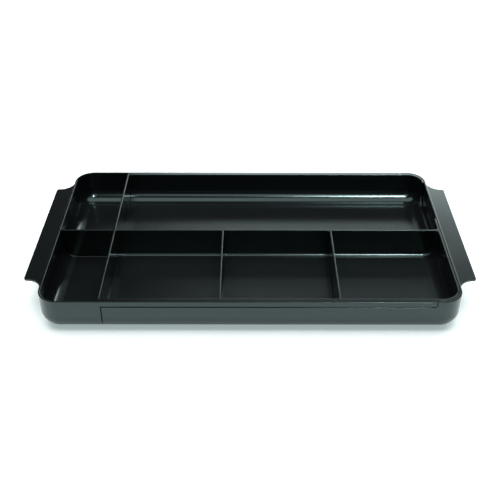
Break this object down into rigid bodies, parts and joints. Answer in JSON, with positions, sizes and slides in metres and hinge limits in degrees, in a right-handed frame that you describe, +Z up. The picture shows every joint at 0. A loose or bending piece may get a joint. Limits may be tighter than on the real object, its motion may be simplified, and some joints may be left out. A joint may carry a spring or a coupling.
{
  "type": "expandable drawer tray",
  "caption": "Shallow compartment tray that lies in a drawer: nested halves slide apart to widen it, and a flange at each end rests on the drawer's rails.",
  "frame": {"origin": "centre of the closed tray's footprint, on the surface it stands on", "axes": "+X to the right, the way the right half pulls out; +Y to the back; +Z up"},
  "size_m": [0.442, 0.241, 0.037],
  "materials": {
    "tray_plastic": "glossy black moulded plastic",
    "button_plastic": "satin black moulded plastic",
    "pad_rubber": "matt dark grey rubber"
  },
  "bodies": {
    "left_half": {"left_tray": "tray_plastic", "guide_button_front": "button_plastic", "guide_button_rear": "button_plastic", "foot_pad_front_left": "pad_rubber", "foot_pad_rear_left": "pad_rubber"},
    "right_half": {"right_tray": "tray_plastic", "foot_pad_front_right": "pad_rubber", "foot_pad_rear_right": "pad_rubber"}
  },
  "joints": [
    {"name": "width_slide", "type": "slide", "parent": "left_half", "child": "right_half", "axis": [1, 0, 0], "range_m": [0, 0.15]}
  ]
}
